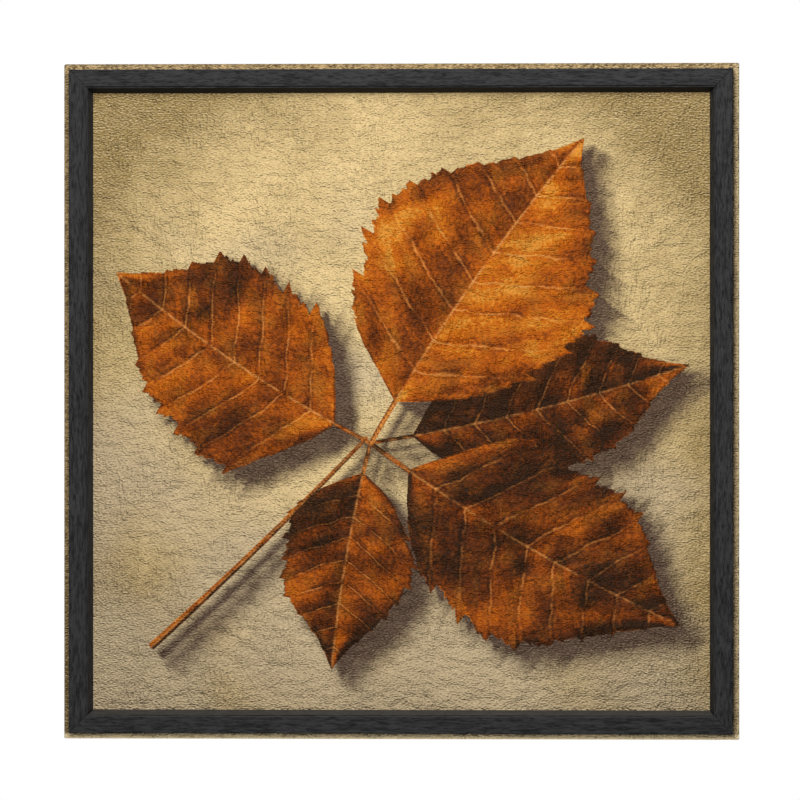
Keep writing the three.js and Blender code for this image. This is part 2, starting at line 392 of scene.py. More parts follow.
def densify(line, pitch, closed=False):
    """The same line with points on its straights too, no further apart than pitch."""
    line = np.concatenate([line, line[:1]]) if closed else line
    length = np.r_[0, np.cumsum(np.linalg.norm(np.diff(line, axis=0), axis=1))]
    counts = np.ceil(np.diff(length) / pitch).astype(int)
    stations = [np.linspace(a, b, n, endpoint=False) for a, b, n in zip(length, length[1:], counts)]
    stations = np.concatenate(stations + ([] if closed else [length[-1:]]))
    return np.stack([np.interp(stations, length, line[:, k]) for k in (0, 1)], -1)


def tube_faces(rows, columns):
    """Faces of a closed tube of points numbered ring by ring, with its two ends."""
    ends = np.array([np.arange(columns)[::-1], (rows - 1) * columns + np.arange(columns)])
    return [grid_quads(rows, columns, close_columns=True), ends]


def outward_normals(outline):
    """For a closed outline that runs counter-clockwise: its tangent turned clockwise by a right angle."""
    tangent = np.roll(outline, -1, axis=0) - np.roll(outline, 1, axis=0)
    normal = np.stack([tangent[:, 1], -tangent[:, 0]], -1)
    return normal / np.linalg.norm(normal, axis=1, keepdims=True)


def mitred_member(outline, relief, pitch):
    """The top member of a mitred square. An outline of (distance out, depth) is carried along x, and each of
    its points ends at its own distance out. relief(along, girth) moves the surface outwards. The last
    stations draw in, so that the mitres read as fine lines."""
    half = outline[:, 0].mean()
    middle = np.linspace(-1, 1, math.ceil(2 * half / pitch))[1:-1]
    near_end = 1 - MITRE_STATIONS / half
    share = np.concatenate([-near_end, middle, near_end[::-1]])
    inset = np.concatenate([MITRE_INSET, 0 * middle, MITRE_INSET[::-1]])[:, None]
    along = share[:, None] * (outline[None, :, 0] - MITRE_GAP / math.sqrt(2))
    girth = np.r_[0, np.cumsum(np.linalg.norm(np.diff(outline, axis=0), axis=1))][None, :]
    push = relief(along, girth) * (1 - inset / MITRE_INSET.max()) - inset
    section = outline[None] + outward_normals(outline)[None] * push[..., None]
    points = np.stack([along, section[..., 1], section[..., 0]], -1)
    return points.reshape(-1, 3), tube_faces(len(share), len(outline))


def swept(path, section):
    """A closed section carried along a path in the plane of x and depth. The section's first value is
    measured along the path's normal there, and its second along z."""
    tangent = np.gradient(path, axis=0)
    tangent /= np.linalg.norm(tangent, axis=1, keepdims=True)
    normal = np.stack([-tangent[:, 1], tangent[:, 0]], -1)
    flat = path[:, None] + normal[:, None] * section[None, :, :1]
    up = np.broadcast_to(section[None, :, 1], flat.shape[:2])
    points = np.stack([flat[..., 0], flat[..., 1], up], -1)
    return points.reshape(-1, 3), tube_faces(len(path), len(section))


def turned(profile, sides, cut=None):
    """A profile of (radius, depth) turned about the depth axis, from one pole to the other. cut(x, z) moves
    the surface in depth."""
    angle = np.linspace(0, 2 * math.pi, sides, endpoint=False)
    radius, depth = profile[1:-1, :1], profile[1:-1, 1:]
    x, z = radius * np.cos(angle), radius * np.sin(angle)
    y = depth + 0 * angle
    if cut is not None:
        y = y + cut(x, z) * (depth > profile[:, 1].mean())
    rows = len(radius)
    poles = np.array([(0, profile[0, 1], 0), (0, profile[-1, 1], 0)])
    if cut is not None:
        poles[-1, 1] += cut(0.0, 0.0)
    points = np.concatenate([np.stack([x, y, z], -1).reshape(-1, 3), poles])
    here = np.arange(sides)
    onward = (here + 1) % sides
    first = np.stack([0 * here + rows * sides, onward, here], -1)
    last = np.stack([here, onward, 0 * here + 1 + rows], -1) + (rows - 1) * sides
    last[:, 2] = rows * sides + 1
    return points, [grid_quads(rows, sides, close_columns=True), first, last]


def node_box(name):
    """Lowest corner and size of a CAD node in millimetres, with x and z from the picture's middle."""
    low, high = (np.array(corner) / MM - MIDDLE * (1, 0, 1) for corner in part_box(name))
    return low, high - low


# The painted design: plain oval leaves on a twig, in millimetres from the picture's middle


class Leaf(NamedTuple):
    base: tuple
    angle: float
    length: float
    half: float
    bend: float
    tone: float
    seed: float
    stalk: float


NODE = (-28.0, -38.0)
STALK_SHARE = 0.15


def leaf_on_node(angle, length, half, bend, tone, seed, stalk):
    """A leaf whose stalk ends at the twig's node."""
    turn, reach = math.radians(angle), STALK_SHARE * length
    base = (NODE[0] + reach * math.cos(turn), NODE[1] + reach * math.sin(turn))
    return Leaf(base, angle, length, half, bend, tone, seed, stalk)


TWIG = Leaf((-226, -222), 42, 272, 3.4, 10, 0.4, 6.1, 0.0)
# Each one lies over those before it
LEAVES = (
    leaf_on_node(10, 258, 66, 20, 0.2, 5.3, 1.7),
    leaf_on_node(-103, 180, 60, 12, 0.36, 0.4, 1.8),
    leaf_on_node(151, 240, 88, -24, 0.5, 1.7, 1.8),
    leaf_on_node(-35, 282, 90, 26, 0.3, 2.9, 2.0),
    leaf_on_node(59, 292, 106, -24, 0.66, 4.2, 2.2),
    TWIG,
)
VEIN_PAIRS = 9.0
VEIN_SWEEP = 0.19
BETWEEN_VEINS = 0.5
TWIG_HEIGHT = 5.0
LIGHT_FROM = (0.62, -0.78)

# The painted shadows' full offset, then share of it, softness in millimetres and strength of each
SHADOW_OFFSET = (17.0, -15.0)
NEAR_REACH, NEAR_SOFTNESS, NEAR_STRENGTH = 0.55, 7.0, 0.95
FAR_REACH, FAR_SOFTNESS, FAR_STRENGTH = 1.05, 20.0, 0.85


def leaf_place(leaf, x, z):
    """Distance along a leaf's middle vein as a share of its length, and distance across it."""
    turn = math.radians(leaf.angle)
    dx, dz = x - leaf.base[0], z - leaf.base[1]
    share = (dx * math.cos(turn) + dz * math.sin(turn)) / leaf.length
    across = dz * math.cos(turn) - dx * math.sin(turn) - leaf.bend * share * share
    return share, across


def leaf_half_width(leaf, share):
    """Half the width: b (1.35 - 0.35 b), where b is sin(pi s (1.3 - 0.3 s)), drawn in towards the tip. The
    twig thins evenly from its cut end."""
    inside = clamp(share)
    if leaf is TWIG:
        return leaf.half * (1.0 - 0.5 * inside)
    body = np.sin(inside * (1.3 - 0.3 * inside) * math.pi)
    return leaf.half * body * (1.35 - 0.35 * body) * (1.0 - 0.42 * ease(inside, 0.68, 1.0))


def vein_phase(share, across, half):
    """Rises by 1 from each side vein to the next. The veins sweep forward as they run out."""
    out = np.absolute(across) / half
    return (share - VEIN_SWEEP * out * (0.88 + 0.12 * out)) * VEIN_PAIRS


def leaf_edge(leaf, share, across, half_width, wobble=0.0):
    """Millimetres in from the margin. A tooth points to the tip at the end of each side vein, with small
    ones between, on a slow wave. Behind the blade runs the stalk. The twig's margin is plain."""
    past_ends = np.maximum(-share, 0.0) + np.maximum(share - 1.0, 0.0)
    if leaf is TWIG:
        return half_width - np.absolute(across) - past_ends * 3 * leaf.length
    phase = vein_phase(share, half_width, leaf.half)
    point = fraction(phase)
    teeth = 0.09 * point * point + 0.035 * fraction(phase * 3)
    wave = 0.06 * np.sin(share * 13 + across * 0.03 + leaf.seed)
    blade = half_width * (0.93 + teeth + wave + wobble) - np.absolute(across) - past_ends * 3 * leaf.length
    past_stalk = np.maximum(-STALK_SHARE - share, 0.0) + np.maximum(share - 0.1, 0.0)
    return np.maximum(blade, leaf.stalk - np.absolute(across) - past_stalk * leaf.length)


def leaf_height(leaf, share, across, half_width):
    """How a leaf stands off the ground, in millimetres: a fold along the middle vein, a swell between side
    veins, a margin that curls up and down, and slow random waves. The twig is round."""
    phase = vein_phase(share, across, leaf.half)
    if leaf is TWIG:
        return TWIG_HEIGHT * np.sqrt(clamp(1.0 - (across / leaf.half) ** 2))
    out = clamp(np.abs(across) / np.maximum(half_width, 4.0), 0.0, 1.2)
    between = np.abs(np.sin(np.pi * phase)) ** 0.7
    swell = 2.2 * between * np.sin(np.pi * clamp(out) ** 0.8) * (share > 0)
    fold = 12.0 * out * (1.0 - 0.45 * out)
    curl = 9.0 * ease(out, 0.5, 1.0) * np.sin(share * 11 + leaf.seed + 1.3 * np.sign(across))
    seed = int(leaf.seed * 10)
    waves = 24.0 * soft_noise(share * 4 + leaf.seed * 7, across / 55 + 20, seed)
    crumple = 7.0 * soft_noise(share * 13 + leaf.seed * 7, across / 19 + 20, seed + 1)
    return swell + fold + curl + waves + crumple


def cast_shadow(leaf, x, z, reach, softness):
    """Where a leaf keeps the light off, moved away from it by a share of the shadow's full offset."""
    share, across = leaf_place(leaf, x - SHADOW_OFFSET[0] * reach, z - SHADOW_OFFSET[1] * reach)
    edge = leaf_edge(leaf, share, across, leaf_half_width(leaf, share))
    return ease(edge, -softness, softness * 0.6)


def painted_fields(x, z, lines):
    """What is soft enough to be kept at the cloth's own grid points: the painted light on the leaves, the
    painted shadows, and the thickness of the paint in millimetres. The light is tanh of the height's slope
    towards it."""
    light, leaf_shadow, ground_shadow, paint = (np.zeros_like(x) for _ in range(4))
    for leaf in LEAVES:
        share, across = leaf_place(leaf, x, z)
        half_width = leaf_half_width(leaf, share)
        mask = ease(leaf_edge(leaf, share, across, half_width), -1.2, 1.8)
        height = leaf_height(leaf, share, across, half_width)
        slope_x, slope_z = np.gradient(height, lines, lines)
        facing = np.tanh((LIGHT_FROM[0] * slope_x + LIGHT_FROM[1] * slope_z) * 1.3)
        near = cast_shadow(leaf, x, z, NEAR_REACH, NEAR_SOFTNESS)
        leaf_shadow = np.maximum(leaf_shadow, near) * (1 - mask)
        far = FAR_STRENGTH * cast_shadow(leaf, x, z, FAR_REACH, FAR_SOFTNESS)
        ground_shadow = np.maximum(ground_shadow, np.maximum(far, NEAR_STRENGTH * near))
        light = blend(light, facing, mask)
        paint = blend(paint, 0.28 + 0.018 * height, mask)
    strokes = soft_noise(x / 9 + 40, z / 3.4 + 40, 3) - 0.5
    daubs = soft_noise(x / 21 + 30, z / 16 + 30, 4) - 0.5
    paint += 0.16 * strokes + 0.22 * daubs
    return {"light": light, "leaf_shadow": leaf_shadow, "ground_shadow": ground_shadow}, paint


# Settings that a user would change


def colour(name, description, rgb):
    return bpy.props.FloatVectorProperty(
        name=name, description=description, subtype="COLOR", size=4, min=0, max=1, default=srgb(*rgb)
    )


def length(name, description, millimetres):
    return bpy.props.FloatProperty(
        name=name, description=description, subtype="DISTANCE", unit="LENGTH", default=millimetres * MM
    )


class CanvasSettings(bpy.types.PropertyGroup):
    grid_step: length("Grid step", "Pitch of the cloth's grid where the picture shows", 2.3)
    ground_bright: colour("Lit ground", "Parchment ground in full light", (222, 193, 136))
    ground_dull: colour("Dull ground", "Parchment ground towards the edges", (148, 123, 73))
    ground_cool: colour("Cool ground", "Greyer passages of the ground", (184, 166, 140))
    shadow_tint: colour("Painted shadow", "Mauve shadow beside the leaves", (78, 57, 48))
    wrap_light: colour("Wrapped edge", "Paint on the canvas edge outside the frame", (200, 169, 119))
    wrap_dark: colour("Wrapped edge, dark", "Dark strokes on the canvas edge", (118, 94, 56))
    raw_cloth: colour("Raw cloth", "Unpainted cotton at the back", (214, 200, 172))


class FrameSettings(bpy.types.PropertyGroup):
    paint: colour("Paint", "Charcoal paint of the rails", (52, 52, 53))
    pore: colour("Pores", "Paint down in the open grain", (25, 25, 26))
    bevel: length("Bevel", "Width of the sloped inner side, seen from the front", 4.5)
    arris: length("Arris", "Rounding of the front edges", 0.8)
    quirk: length("Quirk", "Width of the groove between face and bevel", 0.9)
    grain_depth: length("Grain depth", "Depth of the open grain", 0.1)


class BackSettings(bpy.types.PropertyGroup):
    pine_early: colour("Pale pine", "Soft wood between the growth rings", (222, 188, 138))
    pine_late: colour("Dark pine", "Growth rings", (186, 134, 78))
    steel: colour("Steel", "Bright zinc of staples and screws", (196, 198, 200))
    hanger: colour("Hanger", "Plated sheet of the sawtooth hanger", (202, 192, 160))
    rubber: colour("Bumper", "Bumper rubber", (38, 37, 36))


class StageSettings(bpy.types.PropertyGroup):
    key_power: bpy.props.FloatProperty(name="Key light", description="Power in watts", default=12.0)
    front_power: bpy.props.FloatProperty(name="Front light", description="Power in watts", default=29.0)
    back_power: bpy.props.FloatProperty(name="Back light", description="Power in watts", default=40.0)
    ambient: bpy.props.FloatProperty(name="Ambient", description="Light from all round", default=0.2)
    distance: length("Camera distance", "From the camera to the canvas", 6000)
    width: length("Width of view", "What the camera sees across at the canvas", 723.4)
    azimuth: bpy.props.FloatProperty(
        name="Azimuth", description="Camera's turn to the right", subtype="ANGLE", default=math.radians(2.5)
    )
    floor_drop: length("Floor drop", "From the picture's lower edge to the floor", 900)


# Materials


def leaf_layers(paint, x, z):
    """The leaves' fields, each leaf laid over those before it: cover, then distance along and across in
    millimetres and share of the half width, then vein phase, tone and distance in from the margin."""
    cover = 0.0
    place = shape = None
    wobble = (paint.noise(x / 11, z / 11, detail=3) - 0.5) * 0.13
    for leaf in LEAVES:
        share, across = leaf_place(leaf, x, z)
        half_width = leaf_half_width(leaf, share)
        edge = leaf_edge(leaf, share, across, half_width, wobble)
        mask = ease(edge, -0.55, 0.55)
        here = paint.vector(share * leaf.length, across, np.absolute(across) / np.maximum(half_width, 4.0))
        phase = BETWEEN_VEINS
        if leaf is not TWIG:
            phase = blend(phase, vein_phase(share, across, leaf.half), ease(share, 0.0, 0.015))
        form = paint.vector(phase, leaf.tone, edge)
        if place is None:
            cover, place, shape = mask, here, form
            continue
        cover = np.maximum(cover, mask)
        place = paint.mix_vector(mask, place, here)
        shape = paint.mix_vector(mask, shape, form)
    return cover, paint.split(place), paint.split(shape)


LEAF_STOPS = (
    (0.0, srgb(40, 22, 8)), (0.16, srgb(68, 31, 8)), (0.32, srgb(98, 44, 8)), (0.46, srgb(130, 60, 8)),
    (0.6, srgb(164, 78, 10)), (0.74, srgb(186, 92, 10)), (0.87, srgb(202, 112, 18)),
    (1.0, srgb(216, 140, 48)),
)
OCHRE, VEIN_PAINT = srgb(172, 112, 34), srgb(218, 150, 80)
BROKEN_SHADOW = srgb(72, 50, 36)
# Paler paint for the canvas edge below and right of the frame: painted light that makes up for the rails'
# shadow there
EDGE_PAINTED_LIGHT = srgb(255, 232, 184)
# Painted shade and painted highlights of the brush strokes, on the ground and on the leaves
STROKE_SHADE, STROKE_HIGHLIGHT, LEAF_HIGHLIGHT = srgb(60, 42, 22), srgb(240, 220, 176), srgb(222, 140, 60)
COTTON_SLUB = srgb(178, 158, 124)
WEAVE_PITCH = 1.6


def canvas_material(settings):
    """Painted front, painted edge and raw back of the cloth. Every part is a sum of random fields of its own
    size, eased into a share that lays one colour over another."""
    paint = Paint("painted cloth", {"Roughness": 0.6, "Specular IOR Level": 0.12})
    x, depth, z = paint.place()
    raw = ease(paint.attribute("wrap"), *PAINT_END)
    light = paint.attribute("light")
    cover, (along, across, out), (phase, tone, edge_in) = leaf_layers(paint, x, z)

    # Leaves
    mottle = paint.noise(x / 30, z / 30, detail=3, roughness=0.6)
    to_vein = 0.5 - np.absolute(fraction(phase + (mottle - 0.5) * 0.35) - 0.5)
    faint = paint.noise(x / 12, z / 12, detail=1)
    vein = (1 - ease(to_vein, 0.012, 0.045)) * (1 - ease(out, 0.45, 1.0)) * ease(faint, 0.25, 0.6)
    rib = (1 - ease(np.absolute(across), 0.4, 1.6)) * ease(faint, 0.2, 0.6)
    daubs = paint.noise(along / 3.6 - across / 12, across / 3.2 + along / 18, detail=1)
    side = np.absolute(across)
    forward = along * 0.6 + side * 0.8 + daubs * 9
    sideways = side * 0.6 - along * 0.8 + mottle * 16
    patch = paint.add(
        "ShaderNodeTexVoronoi", {"voronoi_dimensions": "2D", "feature": "F1"},
        {"Vector": paint.vector(forward / 26, sideways / 9), "Scale": 1.0}, output="Color",
    )
    patch_tone, patch_hue = paint.split(patch)[:2]
    bright = tone + light * 0.4 + (mottle - 0.5) * 0.5 + (daubs - 0.5) * 0.44 + (patch_tone - 0.5) * 0.16
    raised = clamp(vein * 0.55 + rib * 0.7)
    bright = bright + raised * 0.12
    dark_vein = (1 - ease(np.absolute(to_vein - 0.08), 0.0, 0.06)) * 0.1
    lit_edge = ease(paint.noise(x / 22, z / 22 + 70, detail=1) + light * 0.1, 0.5, 0.6)
    rim = (1 - ease(edge_in, 0.5, 1.7)) * lit_edge
    margin = (1 - ease(edge_in, 0.3, 4.0)) * (0.12 - light * 0.2)
    leaf_shadow = paint.attribute("leaf_shadow")
    bright = (bright - dark_vein - margin + rim * 0.35) * (1 - leaf_shadow * 0.6)
    leaf_colour = paint.ramp(bright, LEAF_STOPS)
    smear = paint.noise(x / 16, z / 22, detail=2)
    ochre = clamp(ease(smear, 0.5, 0.72) * 0.35 + ease(patch_hue, 0.7, 0.95) * 0.3)
    leaf_colour = paint.mix(ochre * bright, leaf_colour, OCHRE)
    leaf_colour = paint.mix(raised * clamp(bright * 1.1 + 0.05), leaf_colour, VEIN_PAINT)

    # Ground
    cloud = paint.noise(x / 110, z / 110, detail=2)
    # Painted light and shade on the ground: a pool of light above the middle, darker towards the corners and
    # the sides, lighter towards the bottom
    corner = ease(x * x + z * z, 0.6 * RAIL_INNER ** 2, 1.8 * RAIL_INNER ** 2)
    lit_x, lit_z = (x + 30) / 350, (z - 135) / 350
    lit = 1 - ease(lit_x * lit_x + lit_z * lit_z, 0.0, 1.3)
    level = 0.46 + (cloud - 0.5) * 0.8 + (smear - 0.5) * 0.5 - corner * 0.7 + lit * 0.54 - z / 1500
    level = level - ease(-x, 120, 300) * 0.22 - ease(x, 160, 300) * 0.1
    ground = paint.mix(clamp(level), tuple(settings.ground_dull), tuple(settings.ground_bright))
    cool = ease(paint.noise(x / 130 + 7, z / 110 + 3, detail=1) - z / 900 - x / 2600, 0.35, 0.85)
    ground = paint.mix(cool * 0.6, ground, tuple(settings.ground_cool))
    shadow = paint.attribute("ground_shadow")
    shade = clamp(shadow * (0.95 + smear * 0.5))
    ground = paint.mix(shade * 0.96, ground, tuple(settings.shadow_tint))
    broken = ease(smear + (cloud - 0.5) * 0.5, 0.57, 0.63) * shadow * (1 - shadow * 0.8) * 1.6
    ground = paint.mix(clamp(broken) * 0.7, ground, BROKEN_SHADOW)
    front = paint.mix(cover, ground, leaf_colour)

    # Brush relief, in millimetres, which runs on over the sides, and the weave of the raw cloth
    round_x, round_z = x + depth, z + depth
    coarse = paint.noise(round_x / 15, round_z / 9 + 30, detail=1)

    def brushed(up):
        return paint.noise(round_x / 2.3 + round_z / 20, (round_z + up) / 1.3 + coarse * 1.2, detail=0)

    strokes = brushed(0.0)
    grit = paint.noise(round_x / 2.4, round_z / 1.8, detail=0)
    threads = paint.noise(round_x / 2.0, round_z / 8 + 9, detail=0)
    patches = ease(paint.noise(x / 45, z / 45 + 4, detail=0), 0.5, 0.62)
    pitch = math.pi / WEAVE_PITCH
    weave = np.absolute(np.sin(round_x * pitch)) * np.absolute(np.sin(round_z * pitch))
    paint_relief = strokes * 1.2 + grit * 1.2 + coarse * 5.5 + threads * patches * 2.0
    relief = blend(paint_relief, threads * 0.7, raw) + weave * 0.15

    # Edge and back, then painted highlights on the brush strokes' crests and painted shade on their
    # undersides
    fine = paint.noise(x / 4 + z / 9, z / 4 - x / 9, depth / 3, detail=0)
    below, right, left = (ease(distance, 299, 302) for distance in (-z, x, -x))
    edge_tone = 0.36 + (mottle - 0.5) * 1.2 + (fine - 0.5) * 1.6 - left * ease(-z, 60, 260) * 0.6
    edge_colour = paint.mix(clamp(edge_tone), tuple(settings.wrap_dark), tuple(settings.wrap_light))
    # The edge below the frame, and less the one at its right, is painted lighter: painted light against the
    # rails' shadow
    edge_colour = paint.mix(clamp(below * 0.95 + right * 0.3), edge_colour, EDGE_PAINTED_LIGHT)
    painted = paint.mix(ease(np.maximum(np.absolute(x), np.absolute(z)), 288, 292), front, edge_colour)
    # The strokes' slope upwards: painted highlight where it faces up, painted shade where it faces down
    slope = (strokes - brushed(0.5)) * (1.5 + corner * 1.5) + (grit - 0.5) * 1.0
    painted = paint.mix(clamp(-slope) * 0.42 * (1 - below * 0.7), painted, STROKE_SHADE)
    crest_highlight = clamp(slope) * (1 - shadow * 0.75) * (0.5 - cover * 0.275)
    painted = paint.mix(crest_highlight, painted, paint.mix(cover, STROKE_HIGHLIGHT, LEAF_HIGHLIGHT))
    thread_tone = ease(weave, 0.05, 0.6) * 0.3 + (threads - 0.5) * 0.9 + cloud * 0.3
    cotton = paint.mix(clamp(thread_tone), tuple(settings.raw_cloth), COTTON_SLUB)
    base = paint.mix(raw, painted, cotton)
    return paint.finish({"Base Color": base, "Normal": paint.bump(relief)})


def rail_material(settings):
    """Matt charcoal paint over open grain that runs along the rail. Faces that look up are lightened a
    little, as dust and painted light, and faces that look down are darkened, as painted shade.
    """
    paint = Paint("charcoal paint", {"Specular IOR Level": 0.08})
    along, out, depth = paint.split(paint.attribute("grain", "Vector"))
    streaks = paint.noise(along / 12, out / 2.0, depth / 2.0, detail=2, roughness=0.6)
    pores = ease(paint.noise(along / 6, out / 0.9, depth / 0.9, detail=1), 0.56, 0.68)
    cloud = paint.noise(along / 60, out / 12, depth / 12, detail=2)
    tone = clamp(0.35 + pores * 0.6 + (0.5 - streaks) * 3.2 + (0.5 - cloud) * 0.7)
    base = paint.mix(tone, tuple(settings.paint), tuple(settings.pore))
    # Dust and painted light on faces that look up; painted shade, nearly black, on faces that look down
    upward = paint.split(paint.add("ShaderNodeNewGeometry", output="Normal"))[2]
    base = paint.mix(ease(upward, 0.2, 0.9) * 0.08, base, srgb(168, 160, 148))
    base = paint.mix(ease(-upward, 0.2, 0.9) * 0.75, base, srgb(6, 6, 7))
    height = streaks * 0.35 - pores * 0.15
    roughness = 0.5 + streaks * 0.2
    return paint.finish({"Base Color": base, "Roughness": roughness, "Normal": paint.bump(height)})


def pine_material(settings):
    """Planed pine: growth rings seen along the bar, with a few small knots."""
    paint = Paint("planed pine", {"Roughness": 0.62})
    along, out, depth = paint.split(paint.attribute("grain", "Vector"))
    drift = paint.noise(along / 150, out / 40, depth / 40, detail=1)
    rings = fraction(out * 0.16 + depth * 0.12 + drift * 5.0)
    late = ease(rings, 0.35, 0.9) * (1 - ease(rings, 0.93, 1.0))
    fibre = paint.noise(along / 12, out / 0.5, depth / 0.5, detail=2)
    knots = paint.add(
        "ShaderNodeTexVoronoi", {"feature": "F1"},
        {"Vector": paint.vector(along / 120, out / 28), "Scale": 1.0},
    )
    knot = 1 - ease(knots, 0.03, 0.1)
    tone = clamp(late * 0.6 + (fibre - 0.5) * 0.5 + knot * 0.8)
    base = paint.mix(tone, tuple(settings.pine_early), tuple(settings.pine_late))
    base = paint.mix(knot, base, srgb(120, 74, 40))
    return paint.finish({"Base Color": base, "Normal": paint.bump(fibre * 0.1 + late * 0.05)})


def metal_material(name, tint, roughness):
    """Plated metal with faint drawing marks and dull spots."""
    paint = Paint(name, {"Roughness": roughness, "Metallic": 1.0})
    x, depth, z = paint.place()
    marks = paint.noise(x / 0.5, z / 0.5, depth / 0.5, detail=2)
    spots = paint.noise(x / 4, z / 4, depth / 4, detail=2)
    base = paint.mix(clamp(spots * 0.7), tuple(tint), srgb(150, 148, 142))
    return paint.finish({"Base Color": base, "Roughness": roughness + (marks - 0.5) * 0.2})


def rubber_material(settings):
    paint = Paint("bumper rubber", {"Roughness": 0.85})
    x, depth, z = paint.place()
    grain = paint.noise(x / 0.6, z / 0.6, depth / 0.6, detail=2)
    base = paint.mix(grain, tuple(settings.rubber), srgb(56, 55, 53))
    return paint.finish({"Base Color": base, "Normal": paint.bump(grain * 0.08)})


# Geometry of the pieces


def cloth_path():
    """The cloth past the flat front, outwards: round the front edge, over the side and round on to the back.
    Each row is distance out, depth, and the direction that the surface faces there."""

    def bend_round(depth, radius, start, end, steps):
        angle = np.radians(np.linspace(start, end, steps))
        facing = np.stack([np.cos(angle), np.sin(angle)], -1)
        return np.concatenate([(CANVAS_HALF - radius, depth) + radius * facing, facing], -1)

    def straight(start, end, facing, steps):
        line = np.linspace(start, end, steps + 1)[1:]
        return np.concatenate([line, np.broadcast_to(facing, line.shape)], -1)

    side_start = (CANVAS_HALF, CLOTH_FRONT + CLOTH_TURN)
    side_end = (CANVAS_HALF, CLOTH_BACK - BACK_TURN)
    flap_start, flap_end = (CANVAS_HALF - BACK_TURN, CLOTH_BACK), (CANVAS_HALF - FLAP, CLOTH_BACK)
    return np.concatenate([
        bend_round(CLOTH_FRONT + CLOTH_TURN, CLOTH_TURN, -90, 0, 5),
        straight(side_start, side_end, (1, 0), 5)[:-1],
        bend_round(CLOTH_BACK - BACK_TURN, BACK_TURN, 0, 90, 4),
        straight(flap_start, flap_end, (0, 1), 6),
    ])


def cloth_half_lines(step):
    """The cloth's grid lines from the middle outwards: distance in the flat, then distance out, depth and
    facing. Also how many of them are on the front, and how many of those are fine."""
    shown = RAIL_INNER + HIDDEN_EDGE
    front_end = CANVAS_HALF - CLOTH_TURN
    fine = np.linspace(0, shown, COARSE * math.ceil(shown / step / COARSE) + 1)
    front = np.concatenate([fine, np.linspace(shown, front_end, 6)[1:-1]])
    front_rows = np.stack([front, 0 * front + CLOTH_FRONT, 0 * front, 0 * front - 1], -1)
    path = cloth_path()
    beyond = np.r_[0, np.cumsum(np.linalg.norm(np.diff(path[:, :2], axis=0), axis=1))]
    return np.r_[front, front_end + beyond], np.r_[front_rows, path], len(front), len(fine)


def cloth_surface(flat, rows, corner):
    """Points of a cloth folded round a square. A point's ring is the greater of its two distances in the
    flat, and says how far out and how deep the point lies. Its place along the ring is kept in proportion,
    and the ring's corners are rounded where the cloth turns back."""
    index = np.abs(np.arange(1 - len(flat), len(flat)))
    signed = np.r_[-flat[:0:-1], flat]
    ring = np.maximum(index[:, None], index[None, :])
    reach = np.maximum(flat[ring], 1e-9)
    out, depth = rows[ring, 0], rows[ring, 1]
    x, z = signed[:, None] / reach * out, signed[None, :] / reach * out
    radius = corner * clamp((reach - CANVAS_HALF + CLOTH_TURN) / CLOTH_TURN)
    over_x, over_z = np.abs(x) - out + radius, np.abs(z) - out + radius
    at_corner = (over_x > 0) & (over_z > 0)
    pull = 1 - np.maximum(over_x, over_z) / np.maximum(np.hypot(over_x, over_z), 1e-9)
    x = x - np.sign(x) * over_x * pull * at_corner
    z = z - np.sign(z) * over_z * pull * at_corner
    return x, depth, z, ring, signed


def border(count):
    """Numbers of the outermost points of a square grid, in order round it."""
    up, down, last = np.arange(count), np.arange(count)[::-1], count - 1
    return np.concatenate([up, up[1:] * count + last, last * count + down[1:], down[1:-1] * count])


def cut_edge(outer_ring, inner_ring, starts):
    """The cloth's cut edge, between a fine border and a coarse one. Each face spans one coarse step, from
    one of the starts on the fine border to the next."""
    spans = np.diff(np.r_[starts, len(outer_ring)])
    here = np.arange(len(starts))
    faces = []
    for span in np.unique(spans):
        chosen = here[spans == span]
        fine = outer_ring[(starts[chosen, None] + np.arange(span + 1)[::-1]) % len(outer_ring)]
        coarse = inner_ring[np.stack([chosen, (chosen + 1) % len(inner_ring)], -1)]
        faces.append(np.concatenate([fine, coarse], -1))
    return faces


def cloth(step):
    """The closed cloth: a fine outer surface with the paint's relief, a coarse inner one, and the cut
    edge."""
    flat, rows, front_count, fine_count = cloth_half_lines(step)
    x, depth, z, ring, lines = cloth_surface(flat, rows, CLOTH_CORNER)
    fields, paint = painted_fields(x, z, lines)
    fields["wrap"] = flat[ring] - (CANVAS_HALF - CLOTH_TURN)
    shown = 1 - ease(np.maximum(np.abs(x), np.abs(z)), RAIL_INNER - 3, RAIL_INNER)
    depth = depth - paint * shown * (ring < front_count)
    outer = np.stack([x, depth, z], -1).reshape(-1, 3)

    kept = np.r_[np.arange(0, fine_count - 1, COARSE), np.arange(fine_count - 1, len(flat))]
    inner_rows = rows[kept].copy()
    inner_rows[:, :2] -= CLOTH * inner_rows[:, 2:]
    inner_grid = cloth_surface(flat[kept], inner_rows, CLOTH_CORNER - CLOTH)[:3]
    inner = np.stack(inner_grid, -1).reshape(-1, 3)

    outer_count, inner_count = len(lines), 2 * len(kept) - 1
    starts = np.r_[len(flat) - 1 - kept[:0:-1], len(flat) - 1 + kept][:-1]
    starts = np.concatenate([side * (outer_count - 1) + starts for side in range(4)])
    faces = [
        grid_quads(outer_count, outer_count),
        len(outer) + grid_quads(inner_count, inner_count)[:, ::-1],
        *cut_edge(border(outer_count), len(outer) + border(inner_count), starts),
    ]
    fields = {key: np.r_[value.ravel(), np.zeros(len(inner))] for key, value in fields.items()}
    fields["wrap"][len(outer):] = INSIDE_WRAP
    return np.concatenate([outer, inner]), faces, fields


